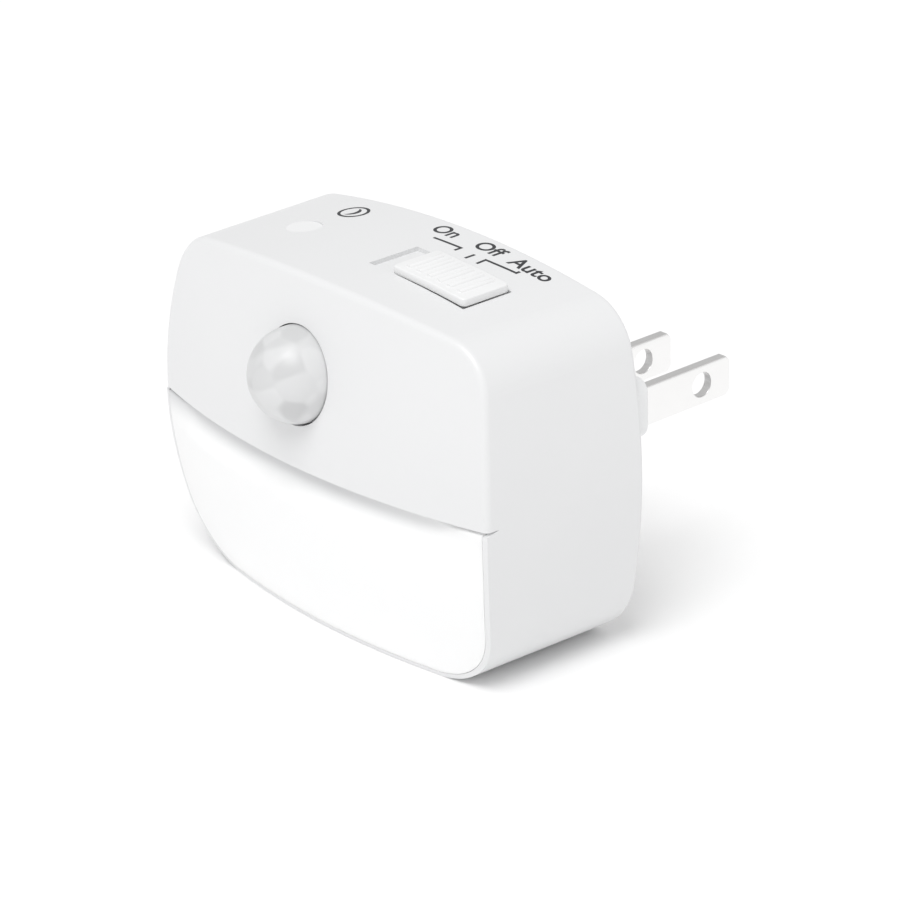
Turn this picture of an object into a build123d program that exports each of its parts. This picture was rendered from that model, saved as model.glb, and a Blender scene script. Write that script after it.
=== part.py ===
"""Plug-in night light with a motion sensor, a daylight sensor and an On / Off / Auto slide switch.

The case stands on its flat base. X runs to the right seen from the front, Y to the rear and Z up.
The origin is the middle of the case's footprint, on the base. Lengths are in millimetres.
"""
from build123d import *
from math import radians, sqrt, tan
import os

os.makedirs("parts", exist_ok=True)

# ---- case ----
case_width = 79.2            # at the rear face, half way up
case_height = 58.0
case_depth = 35.1            # rear face to the foremost point of the crowned front
side_radius = 96.0           # bow of the sides
top_radius = 188.0           # bow of the top
top_corner_radius = 9.2
base_corner_radius = 12.8
base_cut = 0.02              # forms reach this far under the base before it is cut flat
side_draft = 2.5             # degrees, sides narrow towards the front
crown_across_radius = 144.0  # front crown seen from above
crown_up_radius = 85.0       # front crown seen from the side
side_wall = 1.8
front_wall = 2.0
panel_edge_radius = 1.2
rear_edge_radius = 0.6
panel_drop = 0.1             # lower edge of the opaque front panel below the case's mid-height
lining_bite = 0.9            # how far inner bosses run into the walls

# ---- diffuser ----
diffuser_wall = 2.0
rim_width = 0.8              # case wall left around the diffuser
diffuser_gap = 0.06
scoop_height = 6.6           # stretch over which the diffuser falls back under the panel
tongue_height = 2.8

# ---- motion sensor ----
lens_drop = 14.7             # top of the case to the middle of the lens
lens_radius = 7.45
lens_set_back = 0.5          # front of the case to the middle of the dome
lens_gap = 0.2
lens_wall = 0.8
lens_seat_back = 5.5         # foremost point of the case to the flat seat of the lens
lens_flange_radius = 9.0
lens_flange_thickness = 0.8
lens_boss_radius = 9.8
sensor_can_radius = 4.6
sensor_can_height = 4.2
sensor_flange_radius = 4.95
sensor_flange_thickness = 0.5
sensor_proud = 4.0           # can's front ahead of the lens seat
filter_width = 4.0
filter_height = 3.0
filter_thickness = 0.3
holder_wall = 1.2
holder_floor = 2.0
pedestal_radius = 5.6
pedestal_bore = 3.6
sensor_pin_circle = 2.54

# ---- daylight sensor ----
daylight_x = -19.0
daylight_y = 1.8
window_radius = 2.9
window_recess = 0.25
window_flange_radius = 3.9
window_flange_thickness = 0.8
window_seat_drop = 3.6       # top of the case to the flat under the window's boss
window_boss_radius = 4.8
photocell_radius = 2.2
photocell_height = 2.2
photocell_gap = 0.4          # window to photocell
photocell_lead_drop = 2.6
photocell_lead_pitch = 2.54

# ---- slide switch ----
switch_x = 12.5              # middle of the switch, where the knob stands at Off
switch_y = 2.1
switch_travel = 2.45         # from Off to On, and from Off to Auto
tray_depth = 0.7
tray_pad_drop = 3.3          # top of the case to the flat underside of the tray's pad
tray_margin = 1.2
knob_length = 16.0
knob_width = 9.1
knob_proud = 1.05            # above the case's top
knob_lift = 0.56             # above the tray's floor
knob_corner = 0.8
knob_edge_radius = 0.3
knob_end_gap = 0.15
knob_side_gap = 0.2
rib_count = 6
rib_pitch = 2.25
rib_radius = 0.6
rib_height = 0.35
rib_length = 6.5
neck_length = 3.4
neck_width = 3.8
neck_end_gap = 0.25
neck_side_gap = 0.15
neck_to_switch = 0.4
switch_drop = 1.3            # tray's underside to the switch's frame
lever_length = 1.8
lever_width = 2.0
lever_fit = 0.05
lever_engagement = 1.6
switch_length = 14.0
switch_depth = 6.4
switch_height = 5.0
switch_sheet = 0.4
switch_wafer = 1.2
slider_length = 6.0
slider_gap = 0.15
contact_sheet = 0.3
contact_foot = 0.4
contact_foot_length = 0.8
contact_lift = 0.12          # feet to the wafer
contact_width = 1.6
terminal_count = 4
terminal_size = 0.6

# ---- circuit boards ----
board_thickness = 1.6
board_gap = 0.5              # board edge to the case wall
board_rim = 1.7              # switch terminals to the front board's upper edge
lead_radius = 0.3
lead_hole_gap = 0.2
lead_tail = 1.0              # leads past the far side of a board
body_lift = 0.1              # bodies stand off the board by this
led_columns = 4
led_rows = 2
led_side_margin = 14.1       # case's side to the middle of the outer lamps
led_pitch_z = 9.0
led_z = 14.5
led_length = 3.5
led_width = 2.8
led_height = 0.8
chip_length = 9.9
chip_width = 3.9
chip_height = 1.5
chip_x = -12.0
chip_z = 22.0
chip_legs = 8                # on each long side
chip_leg_pitch = 1.27
leg_width = 0.42
leg_sheet = 0.2
leg_reach = 1.05
power_board_left = -24.0
power_board_height = 30.0
power_board_drop = 13.0      # top of the case to the power board's upper edge
post_length = 4.0
post_radius = 2.4
post_inset = 4.0
post_to_plug = 12.6          # right column of posts to the middle of the plug
film_length = 13.0
film_width = 11.0
film_height = 6.0
film_x = 2.0
film_drop = 10.0             # power board's upper edge to the middle of the capacitor
film_lead_pitch = 10.0
can_radius = 4.0
can_length = 12.0
can_x = -16.0
can_drop = 11.5
can_lead_pitch = 3.5
can_lead_reach = 1.6
can_edge_bevel = 0.4
fuse_radius = 1.8
fuse_length = 9.0
fuse_x = -12.0
fuse_rise = 7.0              # power board's lower edge to the fusible resistor
fuse_lift = 0.4
fuse_lead_reach = 3.0
bridge_length = 4.7
bridge_width = 3.9
bridge_height = 2.5
bridge_x = 4.0
bridge_rise = 7.0
bridge_leg_pitch = 2.54
resistor_length = 3.2
resistor_width = 1.6
resistor_height = 0.6
resistor_x = 13.0
resistor_rise = 13.0
resistor_pitch = 2.6
resistor_count = 4
link_side_margin = 12.6
link_rise = 8.5
link_pitch = 2.54
link_count = 4
link_pin_size = 0.64
header_height = 2.5
header_width = 2.54

# ---- plug ----
plug_side_margin = 12.0      # middle of the plug to the case's side
plug_drop = 21.0             # top of the case to the middle of the plug
pad_height = 5.0             # plug face behind the rear cover
pad_half_margin = 1.1        # outside of a blade to the pad's side
pad_length = 9.6             # up and down
pad_corner = 2.2
pad_edge_radius = 0.8
plug_gap = 0.1
flange_thickness = 2.0
flange_width = 12.0
flange_reach = 1.8
blade_spacing = 12.7
blade_thickness = 1.5
blade_width = 6.35
blade_length = 18.2          # from the plug face to the tip
blade_hole_radius = 1.98
blade_hole_distance = 11.9   # from the plug face
blade_tip_corner = 1.2
blade_tip_bevel = 0.45
blade_shoulder = 1.0         # wide part of the blade past the insert's inner face
tail_width = 3.0
tail_gap = 0.15

# ---- rear cover, columns and screws ----
cover_thickness = 2.0
cover_gap = 0.1
column_radius = 3.0
column_bite = 1.0            # column's rim inside the wall at a corner
shoulder_radius = 4.4
column_gap = 0.25
screw_shank_radius = 0.95
screw_fit = 0.05
screw_head_radius = 2.1
screw_head_height = 1.1
head_gap = 0.2
counterbore_depth = 1.2
case_screw_length = 8.0
board_screw_length = 5.0
board_screw_head_radius = 1.9
board_boss_radius = 2.6
board_boss_length = 5.0
board_boss_bite = 0.6
board_boss_rise = 3.0        # above the case's mid-height
pilot_spare = 0.5            # pilot hole past the screw's end
board_hole_gap = 0.2         # screw to its hole in a board or in the cover

# ---- places worked out from the sizes above ----
rear_face = case_depth / 2
front_apex = -case_depth / 2
mid_height = case_height / 2
form_reach = 4.0             # forms run this far past the case before they are cut
panel_bottom = mid_height - panel_drop
lens_z = case_height - lens_drop
plug_x = case_width / 2 - plug_side_margin
plug_z = case_height - plug_drop
board_boss_z = mid_height + board_boss_rise
power_board_top = case_height - power_board_drop
power_board_bottom = power_board_top - power_board_height
film_z = power_board_top - film_drop
can_z = power_board_top - can_drop
fuse_z = power_board_bottom + fuse_rise
bridge_z = power_board_bottom + bridge_rise
resistor_z = power_board_bottom + resistor_rise
link_z = power_board_bottom + link_rise
link_x = case_width / 2 - link_side_margin
led_pitch_x = (case_width - 2 * led_side_margin) / (led_columns - 1)
post_column_x = plug_x - post_to_plug
cover_inner = rear_face - cover_thickness
tray_length = knob_length + 2 * (switch_travel + knob_end_gap)
tray_width = knob_width + 2 * knob_side_gap
tray_pad_z = case_height - tray_pad_drop
knob_x = switch_x + switch_travel
switch_top = tray_pad_z - switch_drop
switch_mid_z = switch_top - switch_height / 2
front_board_top = switch_mid_z + board_rim
lens_seat = front_apex + lens_seat_back
lens_hole_radius = lens_radius + lens_gap
window_seat = case_height - window_seat_drop
front_board_back = switch_y - switch_depth / 2
front_board_front = front_board_back - board_thickness
power_board_back = cover_inner - post_length
power_board_front = power_board_back - board_thickness
lead_hole_radius = lead_radius + lead_hole_gap
pilot_radius = screw_shank_radius + screw_fit
board_hole_radius = screw_shank_radius + board_hole_gap
plug_face = rear_face + pad_height
insert_inner = cover_inner - flange_thickness
pad_width = blade_spacing + blade_thickness + 2 * pad_half_margin
blade_columns = (plug_x - blade_spacing / 2, plug_x + blade_spacing / 2)


def facing(y):
    """Plane across the case at depth y. Extrusions from it run to the front."""
    return Plane.XZ.offset(-y)


def half_width(y):
    """Half the case's width at depth y, half way up."""
    return case_width / 2 - (rear_face - y) * tan(radians(side_draft))


def side_x(y, z, inset=0.0):
    """X of the right side at depth y and height z."""
    radius = side_radius - inset
    return half_width(y) - side_radius + sqrt(radius**2 - (z - mid_height) ** 2)


def top_z(x, inset=0.0):
    """Height of the case's top at x."""
    radius = top_radius - inset
    return case_height - top_radius + sqrt(radius**2 - x**2)


def crown_y(z):
    """Depth of the crowned front in the middle plane, at height z."""
    return front_apex + crown_up_radius - sqrt(crown_up_radius**2 - (z - mid_height) ** 2)


def case_outline(y, inset=0.0):
    """Section of the case at depth y: flat base, bowed sides and top, rounded corners."""
    centre = side_radius - half_width(y)
    with BuildSketch(facing(y)) as outline:
        with Locations((-centre, mid_height)):
            Circle(side_radius - inset)
        with Locations((centre, mid_height)):
            Circle(side_radius - inset, mode=Mode.INTERSECT)
        with Locations((0, case_height - top_radius)):
            Circle(top_radius - inset, mode=Mode.INTERSECT)
        with Locations((0, inset - base_cut)):
            Rectangle(2 * case_width, 2 * case_height, align=(Align.CENTER, Align.MIN), mode=Mode.INTERSECT)
        fillet(outline.vertices().group_by(Axis.Y)[0], base_corner_radius - inset)
        fillet(outline.vertices().group_by(Axis.Y)[-1], top_corner_radius - inset)
    return outline.sketch


def case_form(inset=0.0, rear=rear_face, front=front_apex - form_reach):
    """Drafted solid of the case's section between two depths."""
    with BuildPart() as form:
        loft([case_outline(rear, inset), case_outline(front, inset)], ruled=True)
    return form.part


def crown(back=0.0):
    """All that lies behind the crowned front surface, moved back by the amount given."""
    low, high = -form_reach, case_height + form_reach
    pivot = front_apex + crown_across_radius
    with BuildPart() as form:
        with BuildSketch(Plane.YZ):
            with BuildLine():
                arc = ThreePointArc((crown_y(low), low), (front_apex, mid_height), (crown_y(high), high))
                Polyline(arc @ 1, (pivot, high), (pivot, low), arc @ 0)
            make_face()
        revolve(axis=Axis((0, pivot, 0), (0, 0, 1)))
    return form.part.moved(Location((0, back, 0)))


def diffuser_crown(back=0.0):
    """All behind the diffuser's front: the case's crown, which falls back into a tongue behind the panel."""
    low, high = -form_reach, panel_bottom + tongue_height
    foot = panel_bottom - scoop_height
    pivot = front_apex + crown_across_radius
    tongue = crown_y(panel_bottom) + front_wall + diffuser_gap
    rise = (crown_y(foot + 1) - crown_y(foot - 1), 2)
    with BuildPart() as form:
        with BuildSketch(Plane.YZ):
            with BuildLine():
                middle = (low + foot) / 2
                arc = ThreePointArc((crown_y(low), low), (crown_y(middle), middle), (crown_y(foot), foot))
                scoop = Spline(arc @ 1, (tongue, panel_bottom - diffuser_gap), tangents=(rise, (0, 1)))
                Polyline(scoop @ 1, (tongue, high), (pivot, high), (pivot, low), arc @ 0)
            make_face()
        revolve(axis=Axis((0, pivot, 0), (0, 0, 1)))
    return form.part.moved(Location((0, back, 0)))


def round_pegs(spots, y, length, radius):
    """Round pegs at the spots given as (x, z), from depth y to the front."""
    with BuildPart() as pegs:
        with BuildSketch(facing(y)):
            with Locations(*spots):
                Circle(radius)
        extrude(amount=length)
    return pegs.part


def blocks(spots, y, length, size_x, size_z):
    """Blocks at the spots given as (x, z), from depth y to the front, or to the rear if the length is negative."""
    with BuildPart() as block:
        with BuildSketch(facing(y)):
            with Locations(*spots):
                Rectangle(size_x, size_z)
        extrude(amount=length)
    return block.part


def bent_lead(*points):
    """Round wire along the points, with rounded bends."""
    with BuildPart() as lead:
        with BuildLine() as path:
            FilletPolyline(*points, radius=3 * lead_radius)
        with BuildSketch(Plane(origin=path.line @ 0, z_dir=path.line % 0)):
            Circle(lead_radius)
        sweep(path=path.line)
    return lead.part


def in_a_row(count, pitch, middle=0.0):
    """Evenly spaced places about the middle."""
    return [middle + (i - (count - 1) / 2) * pitch for i in range(count)]


def corner_spot(radius, corner_z, side):
    """Column centre on the diagonal of a case corner, so that the column runs into the wall."""
    reach = (radius - side_wall + column_bite - column_radius) / sqrt(2)
    centre_x = side_x(0, corner_z) - radius
    up = 1 if corner_z > mid_height else -1
    return (side * (centre_x + reach), corner_z + up * reach)


top_corner_z = top_z(half_width(0) - top_corner_radius) - top_corner_radius
column_spots = [corner_spot(base_corner_radius, base_corner_radius, side) for side in (-1, 1)]
column_spots += [corner_spot(top_corner_radius, top_corner_z, side) for side in (-1, 1)]
board_boss_x = side_x(front_board_front, board_boss_z, side_wall) - board_boss_radius + board_boss_bite
board_boss_spots = [(-board_boss_x, board_boss_z), (board_boss_x, board_boss_z)]
post_rows = (power_board_bottom + post_inset, power_board_top - post_inset)
post_columns = (power_board_left + post_inset, post_column_x)
post_spots = [(x, z) for x in post_columns for z in post_rows]
post_screw_spots = [(post_columns[0], post_rows[1]), (post_columns[1], post_rows[0])]
power_board_right = side_x(power_board_front, power_board_top, side_wall) - board_gap
terminal_spots = [(x, switch_mid_z) for x in in_a_row(terminal_count, switch_travel, switch_x)]
link_spots = [(x, link_z) for x in in_a_row(link_count, link_pitch, link_x)]
sensor_pin_spots = [(-sensor_pin_circle, lens_z), (0, lens_z - sensor_pin_circle), (sensor_pin_circle, lens_z)]


# ---- front housing: the moulded cup that makes the panel, the sides, the top and the base ----
split_plane = Plane.XY.offset(panel_bottom)


def free_edges(face):
    """Edges of a face that don't lie on the plane where the two halves of the housing join."""
    return face.edges().filter_by(lambda edge: abs(edge.center().Z - panel_bottom) > 0.01)


with BuildPart() as upper_form:
    add(case_form())
    add(crown(), mode=Mode.INTERSECT)
    split(bisect_by=split_plane, keep=Keep.TOP)
    fillet(free_edges(upper_form.faces().sort_by(Axis.Y)[0]), panel_edge_radius)
    fillet(free_edges(upper_form.faces().sort_by(Axis.Y)[-1]), rear_edge_radius)

with BuildPart() as lower_form:
    add(case_form())
    add(diffuser_crown(), mode=Mode.INTERSECT)
    split(bisect_by=split_plane, keep=Keep.BOTTOM)
    fillet(free_edges(lower_form.faces().sort_by(Axis.Y)[-1]), rear_edge_radius)
    split(bisect_by=Plane.XY, keep=Keep.TOP)

# the opening and the ledge that the diffuser drops into from the front
with BuildPart() as diffuser_seat:
    add(case_form(rim_width))
    split(bisect_by=split_plane, keep=Keep.BOTTOM)
    add(diffuser_crown(diffuser_wall), mode=Mode.SUBTRACT)

# bosses, columns and the switch's pad, kept inside the middle of the walls and behind the diffuser
with BuildPart() as lining:
    add(round_pegs(column_spots, cover_inner, case_depth, column_radius))
    add(round_pegs(column_spots, front_board_front, case_depth, shoulder_radius))
    add(round_pegs(board_boss_spots, front_board_front, board_boss_length, board_boss_radius))
    add(round_pegs([(0, lens_z)], lens_seat, lens_seat_back, lens_boss_radius))
    with BuildSketch(Plane.XY.offset(window_seat)):
        with Locations((daylight_x, daylight_y)):
            Circle(window_boss_radius)
    extrude(amount=window_seat_drop)
    with BuildSketch(Plane.XY.offset(tray_pad_z)):
        with Locations((switch_x, switch_y)):
            Rectangle(tray_length + 2 * tray_margin, tray_width + 2 * tray_margin)
    extrude(amount=tray_pad_drop)
    add(case_form(side_wall - lining_bite), mode=Mode.INTERSECT)
    add(crown(front_wall - lining_bite), mode=Mode.INTERSECT)
    add(diffuser_seat.part, mode=Mode.SUBTRACT)

# the switch's tray: a shallow trough whose floor follows the bow of the case's top
with BuildPart() as switch_tray:
    with BuildSketch(facing(switch_y + tray_width / 2)):
        with Locations((switch_x, case_height)):
            Rectangle(tray_length, 2 * form_reach)
        with Locations((0, case_height - top_radius)):
            Circle(top_radius - tray_depth, mode=Mode.SUBTRACT)
    extrude(amount=tray_width)

slot_length = neck_length + 2 * (switch_travel + neck_end_gap)
slot_width = neck_width + 2 * neck_side_gap
pilot_depth = case_screw_length - cover_thickness + counterbore_depth + pilot_spare
board_pilot_depth = board_screw_length - board_thickness + pilot_spare

with BuildPart() as hollow:
    add(case_form(side_wall, rear_face + form_reach))
    add(crown(front_wall), mode=Mode.INTERSECT)

with BuildPart() as front_housing:
    add(upper_form.part)
    add(lower_form.part)
    add(hollow.part, mode=Mode.SUBTRACT)
    add(diffuser_seat.part, mode=Mode.SUBTRACT)
    add(lining.part)
    add(switch_tray.part, mode=Mode.SUBTRACT)
    # slot for the knob's neck, and the daylight window's hole
    with BuildSketch(Plane.XY.offset(case_height)):
        with Locations((switch_x, switch_y)):
            Rectangle(slot_length, slot_width)
    extrude(amount=-2 * tray_pad_drop, mode=Mode.SUBTRACT)
    with BuildSketch(Plane.XY.offset(case_height)):
        with Locations((daylight_x, daylight_y)):
            Circle(window_radius)
    extrude(amount=-2 * window_seat_drop, mode=Mode.SUBTRACT)
    # hole of the lens
    add(round_pegs([(0, lens_z)], lens_seat, case_depth, lens_hole_radius), mode=Mode.SUBTRACT)
    # pilot holes of the case screws and of the front board's screws
    add(round_pegs(column_spots, cover_inner, pilot_depth, pilot_radius), mode=Mode.SUBTRACT)
    add(round_pegs(board_boss_spots, front_board_front, board_pilot_depth, pilot_radius), mode=Mode.SUBTRACT)
front_housing.part.label = "front_housing"
export_step(front_housing.part, "parts/front_housing.step")

# ---- diffuser: the milky lower front, with a tongue that hooks behind the panel ----
with BuildPart() as tongue_surround:
    with BuildSketch(Plane.XY.offset(panel_bottom - diffuser_gap)):
        Rectangle(2 * case_width, 2 * case_depth)
    extrude(amount=2 * tongue_height)
    add(case_form(side_wall + diffuser_gap), mode=Mode.SUBTRACT)

with BuildPart() as diffuser:
    add(case_form(rim_width + diffuser_gap))
    add(diffuser_crown(), mode=Mode.INTERSECT)
    add(diffuser_crown(diffuser_wall), mode=Mode.SUBTRACT)
    with BuildSketch(Plane.XY.offset(panel_bottom + tongue_height)):
        Rectangle(2 * case_width, 2 * case_depth)
    extrude(amount=case_height, mode=Mode.SUBTRACT)
    add(tongue_surround.part, mode=Mode.SUBTRACT)
diffuser.part.label = "diffuser"
export_step(diffuser.part, "parts/diffuser.step")

# ---- motion sensor lens: a thin dome on a short neck, with a flange behind the panel ----
with BuildPart() as pir_lens:
    dome_centre = crown_y(lens_z) + lens_set_back
    with BuildSketch(Plane.YZ):
        with BuildLine():
            outside = ThreePointArc(
                (dome_centre - lens_radius, lens_z),
                (dome_centre - lens_radius * sqrt(0.5), lens_z + lens_radius * sqrt(0.5)),
                (dome_centre, lens_z + lens_radius),
            )
            inner_radius = lens_radius - lens_wall
            inside = ThreePointArc(
                (dome_centre, lens_z + inner_radius),
                (dome_centre - inner_radius * sqrt(0.5), lens_z + inner_radius * sqrt(0.5)),
                (dome_centre - inner_radius, lens_z),
            )
            flange_back = lens_seat + lens_flange_thickness
            Polyline(
                outside @ 1,
                (lens_seat, lens_z + lens_radius),
                (lens_seat, lens_z + lens_flange_radius),
                (flange_back, lens_z + lens_flange_radius),
                (flange_back, lens_z + inner_radius),
                inside @ 0,
            )
            Line(inside @ 1, outside @ 0)
        make_face()
    revolve(axis=Axis((0, 0, lens_z), (0, 1, 0)))
pir_lens.part.label = "pir_lens"
export_step(pir_lens.part, "parts/pir_lens.step")

# ---- sensor holder: presses the lens flange to its seat and carries the sensor inside the dome ----
sensor_front = lens_seat - sensor_proud
sensor_seat = sensor_front + sensor_can_height
with BuildPart() as sensor_holder:
    outer_radius = lens_flange_radius
    ring_bore = outer_radius - holder_wall
    with BuildSketch(Plane.YZ):
        with BuildLine():
            Polyline(
                (front_board_front, lens_z + pedestal_bore),
                (front_board_front, lens_z + outer_radius),
                (flange_back, lens_z + outer_radius),
                (flange_back, lens_z + ring_bore),
                (front_board_front - holder_floor, lens_z + ring_bore),
                (front_board_front - holder_floor, lens_z + pedestal_radius),
                (sensor_seat, lens_z + pedestal_radius),
                (sensor_seat, lens_z + pedestal_bore),
                close=True,
            )
        make_face()
    revolve(axis=Axis((0, 0, lens_z), (0, 1, 0)))
sensor_holder.part.label = "sensor_holder"
export_step(sensor_holder.part, "parts/sensor_holder.step")

# ---- motion sensor: metal can on its flange, optical filter in the front, three pins ----
with BuildPart() as pir_sensor:
    add(round_pegs([(0, lens_z)], sensor_seat, sensor_flange_thickness, sensor_flange_radius))
    add(round_pegs([(0, lens_z)], sensor_seat, sensor_can_height, sensor_can_radius))
    fillet(pir_sensor.edges().group_by(Axis.Y)[0], sensor_flange_thickness)
    with BuildSketch(facing(sensor_front)):
        with Locations((0, lens_z)):
            Rectangle(filter_width, filter_height)
    extrude(amount=-filter_thickness, mode=Mode.SUBTRACT)
pir_sensor.part.label = "pir_sensor"
export_step(pir_sensor.part, "parts/pir_sensor.step")

with BuildPart() as pir_filter:
    with BuildSketch(facing(sensor_front + filter_thickness)):
        with Locations((0, lens_z)):
            Rectangle(filter_width, filter_height)
    extrude(amount=filter_thickness)
pir_filter.part.label = "pir_filter"
export_step(pir_filter.part, "parts/pir_filter.step")

with BuildPart() as pir_pins:
    pin_end = front_board_back + lead_tail
    add(round_pegs(sensor_pin_spots, pin_end, pin_end - sensor_seat, lead_radius))
pir_pins.part.label = "pir_pins"
export_step(pir_pins.part, "parts/pir_pins.step")

# ---- daylight sensor: a clear window in the top, and a photocell on two bent leads under it ----
window_top = top_z(daylight_x) - window_recess
with BuildPart() as daylight_window:
    with BuildSketch(Plane.XY.offset(window_top)):
        with Locations((daylight_x, daylight_y)):
            Circle(window_radius)
    extrude(amount=window_seat - window_top)
    with BuildSketch(Plane.XY.offset(window_seat)):
        with Locations((daylight_x, daylight_y)):
            Circle(window_flange_radius)
    extrude(amount=-window_flange_thickness)
daylight_window.part.label = "daylight_window"
export_step(daylight_window.part, "parts/daylight_window.step")

photocell_top = window_seat - window_flange_thickness - photocell_gap
photocell_base = photocell_top - photocell_height
photocell_lead_z = photocell_base - photocell_lead_drop
photocell_lead_spots = [(x, photocell_lead_z) for x in in_a_row(2, photocell_lead_pitch, daylight_x)]
with BuildPart() as photocell:
    with BuildSketch(Plane.XY.offset(photocell_base)):
        with Locations((daylight_x, daylight_y)):
            Circle(photocell_radius)
    extrude(amount=photocell_height)
    for x, z in photocell_lead_spots:
        end_y = front_board_front - lead_tail
        add(bent_lead((x, daylight_y, photocell_base), (x, daylight_y, z), (x, end_y, z)))
photocell.part.label = "photocell"
export_step(photocell.part, "parts/photocell.step")

# ---- slide switch: sheet metal frame, wafer with terminals, slider with lever, bridging contact ----
# the slider, its contact and the knob are drawn at Auto, the right end of their travel
wafer_back = front_board_back + switch_wafer
slider_front = wafer_back + contact_lift + contact_foot + contact_sheet
slider_back = front_board_back + switch_depth - switch_sheet - slider_gap
neck_bottom = switch_top + neck_to_switch
lever_top = neck_bottom + lever_engagement
inner_length = switch_length - 2 * switch_sheet
inner_height = switch_height - 2 * switch_sheet

with BuildPart() as switch_frame:
    add(blocks([(switch_x, switch_mid_z)], front_board_back, -switch_depth, switch_length, switch_height))
    pocket_depth = switch_depth - switch_sheet
    add(
        blocks([(switch_x, switch_mid_z)], front_board_back, -pocket_depth, inner_length, inner_height),
        mode=Mode.SUBTRACT,
    )
    with BuildSketch(Plane.XY.offset(switch_top)):
        with Locations((switch_x, switch_y)):
            Rectangle(slot_length - neck_length + lever_length, lever_width + 2 * neck_side_gap)
    extrude(amount=-2 * switch_sheet, mode=Mode.SUBTRACT)
switch_frame.part.label = "switch_frame"
export_step(switch_frame.part, "parts/switch_frame.step")

with BuildPart() as switch_wafer_plate:
    add(blocks([(switch_x, switch_mid_z)], front_board_back, -switch_wafer, inner_length, inner_height))
    wafer_holes = blocks(terminal_spots, wafer_back, 2 * switch_wafer, terminal_size, terminal_size)
    add(wafer_holes, mode=Mode.SUBTRACT)
switch_wafer_plate.part.label = "switch_wafer"
export_step(switch_wafer_plate.part, "parts/switch_wafer.step")

with BuildPart() as switch_terminals:
    terminal_length = wafer_back - front_board_front + lead_tail
    add(blocks(terminal_spots, wafer_back, terminal_length, terminal_size, terminal_size))
switch_terminals.part.label = "switch_terminals"
export_step(switch_terminals.part, "parts/switch_terminals.step")

with BuildPart() as switch_lever:
    slider_height = inner_height - 2 * slider_gap
    slider_depth = slider_back - slider_front
    add(blocks([(knob_x, switch_mid_z)], slider_back, slider_depth, slider_length, slider_height))
    with BuildSketch(Plane.XY.offset(switch_mid_z)):
        with Locations((knob_x, switch_y)):
            Rectangle(lever_length, lever_width)
    extrude(amount=lever_top - switch_mid_z)
switch_lever.part.label = "switch_lever"
export_step(switch_lever.part, "parts/switch_lever.step")

with BuildPart() as switch_contact:
    strip_length = switch_travel + contact_foot_length
    add(blocks([(knob_x, switch_mid_z)], slider_front, contact_sheet, strip_length, contact_width))
    foot_spots = [(x, switch_mid_z) for x in in_a_row(2, switch_travel, knob_x)]
    foot_y = slider_front - contact_sheet
    add(blocks(foot_spots, foot_y, contact_foot, contact_foot_length, contact_width))
    fillet(switch_contact.edges().group_by(Axis.Y)[0].filter_by(Axis.Z), contact_foot_length / 3)
switch_contact.part.label = "switch_contact"
export_step(switch_contact.part, "parts/switch_contact.step")

# ---- switch knob: bowed plate with low round ribs, and a neck that takes the lever ----
with BuildPart() as switch_knob:
    with BuildSketch(facing(switch_y + knob_width / 2)):
        with Locations((switch_travel, case_height - top_radius)):
            Circle(top_radius + knob_proud)
            Circle(top_radius - tray_depth + knob_lift, mode=Mode.SUBTRACT)
        with Locations((knob_x, case_height)):
            Rectangle(knob_length, 2 * form_reach, mode=Mode.INTERSECT)
    extrude(amount=knob_width)
    fillet(switch_knob.edges().filter_by(Axis.Z), knob_corner)
    fillet(switch_knob.faces().sort_by(Axis.Z)[-1].edges(), knob_edge_radius)
    rib_sink = rib_height - rib_radius
    rib_spots = [
        (x + switch_travel, top_z(x, -knob_proud) + rib_sink) for x in in_a_row(rib_count, rib_pitch, switch_x)
    ]
    add(round_pegs(rib_spots, switch_y + rib_length / 2, rib_length, rib_radius))
    neck_top = top_z(switch_x)
    with BuildSketch(Plane.XY.offset(neck_bottom)):
        with Locations((knob_x, switch_y)):
            Rectangle(neck_length, neck_width)
    extrude(amount=neck_top - neck_bottom)
    with BuildSketch(Plane.XY.offset(neck_bottom)):
        with Locations((knob_x, switch_y)):
            Rectangle(lever_length + 2 * lever_fit, lever_width + 2 * lever_fit)
    extrude(amount=lever_engagement + lever_fit, mode=Mode.SUBTRACT)
switch_knob.part.label = "switch_knob"
export_step(switch_knob.part, "parts/switch_knob.step")

# ---- front board: carries the lamps, the sensors, the switch and the control chip ----
with BuildPart() as front_board:
    extrude(case_outline(front_board_front, side_wall + board_gap), amount=-board_thickness)
    with BuildSketch(Plane.XY.offset(front_board_top)):
        Rectangle(2 * case_width, 2 * case_depth)
    extrude(amount=case_height, mode=Mode.SUBTRACT)
    drill_from = front_board_back + form_reach
    drill = 2 * form_reach
    add(round_pegs(column_spots, drill_from, drill, column_radius + column_gap), mode=Mode.SUBTRACT)
    small_holes = sensor_pin_spots + photocell_lead_spots + terminal_spots + link_spots
    add(round_pegs(small_holes, drill_from, drill, lead_hole_radius), mode=Mode.SUBTRACT)
    add(round_pegs(board_boss_spots, drill_from, drill, board_hole_radius), mode=Mode.SUBTRACT)
front_board.part.label = "front_board"
export_step(front_board.part, "parts/front_board.step")

with BuildPart() as leds:
    led_spots = [(x, z) for x in in_a_row(led_columns, led_pitch_x) for z in in_a_row(led_rows, led_pitch_z, led_z)]
    add(blocks(led_spots, front_board_front, led_height, led_length, led_width))
leds.part.label = "leds"
export_step(leds.part, "parts/leds.step")


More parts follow.
